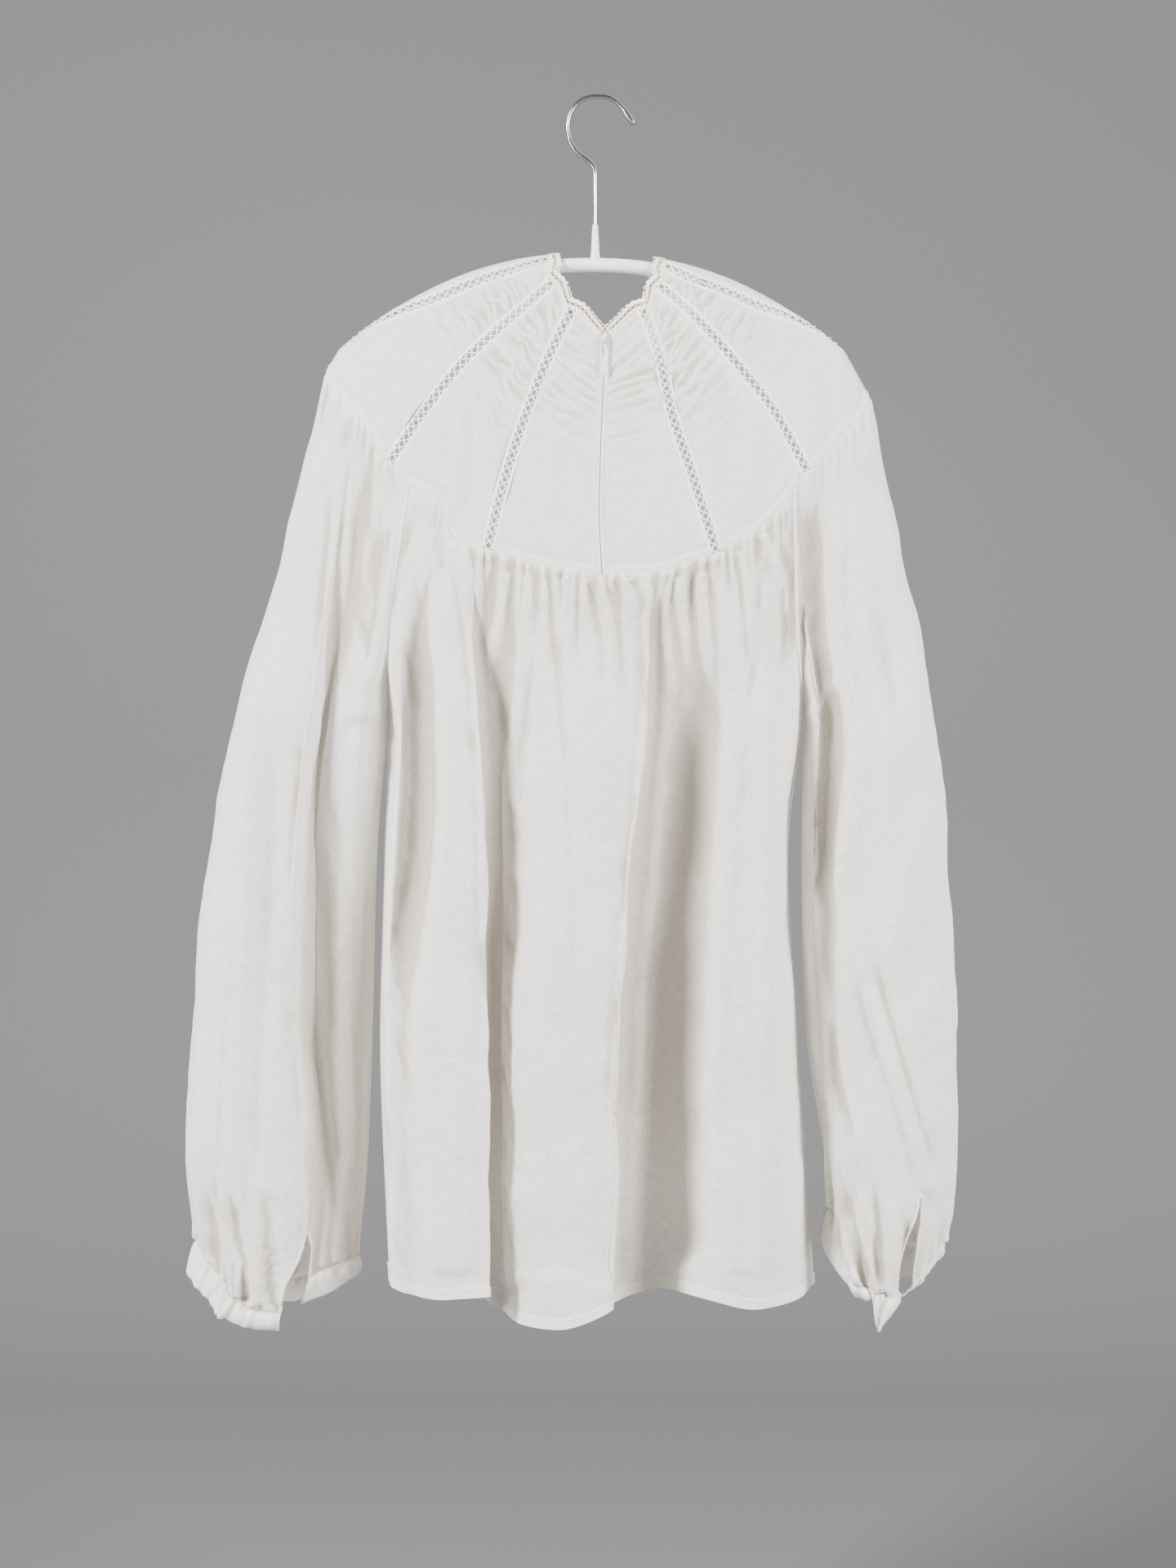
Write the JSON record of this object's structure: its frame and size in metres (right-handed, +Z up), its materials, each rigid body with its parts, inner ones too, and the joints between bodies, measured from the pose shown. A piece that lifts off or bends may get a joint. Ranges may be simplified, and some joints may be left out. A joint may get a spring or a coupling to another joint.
{
  "type": "gathered blouse on a hanger",
  "caption": "Sheer blouse with a round openwork yoke, back zip and balloon sleeves, hung open-hemmed on a coated hanger",
  "frame": {"origin": "inside the top of the hanger's hook, where it sits on a rail or peg", "axes": "+Z up, +Y towards the blouse's front, +X along the hanger's bar to the wearer's right"},
  "size_m": [0.5392, 0.1374, 0.8536],
  "materials": {
    "voile": "sheer slubbed plain weave",
    "openwork": "crossed thread insertion",
    "coil": "concealed zip tape and coil",
    "enamel": "gloss enamel",
    "coated": "smooth coat",
    "wire": "polished wire"
  },
  "bodies": {
    "garment": {"body_back": "voile", "body_front": "voile", "sleeve_left": "voile", "sleeve_right": "voile", "cuff_left": "voile", "cuff_right": "voile", "placket_left": "voile", "placket_right": "voile", "yoke_back_left": "voile", "yoke_back_right": "voile", "yoke_side_left": "voile", "yoke_side_right": "voile", "yoke_shoulder_left": "voile", "yoke_shoulder_right": "voile", "yoke_front": "voile", "openwork_back_left": "openwork", "openwork_back_right": "openwork", "openwork_side_left": "openwork", "openwork_side_right": "openwork", "openwork_shoulder_left": "openwork", "openwork_shoulder_right": "openwork", "neck_edging": "openwork", "zip_tape": "coil", "zip_slider": "enamel", "hanger_bar": "coated", "hanger_neck": "coated", "hanger_hook": "wire"},
    "pull": {"zip_pull": "enamel"}
  },
  "joints": [
    {"name": "pull_hinge", "type": "hinge", "parent": "garment", "child": "pull", "pos_m": [0.00478, -0.02813, -0.17333], "axis": [-1, 0, 0], "range_deg": [0, 120]}
  ]
}
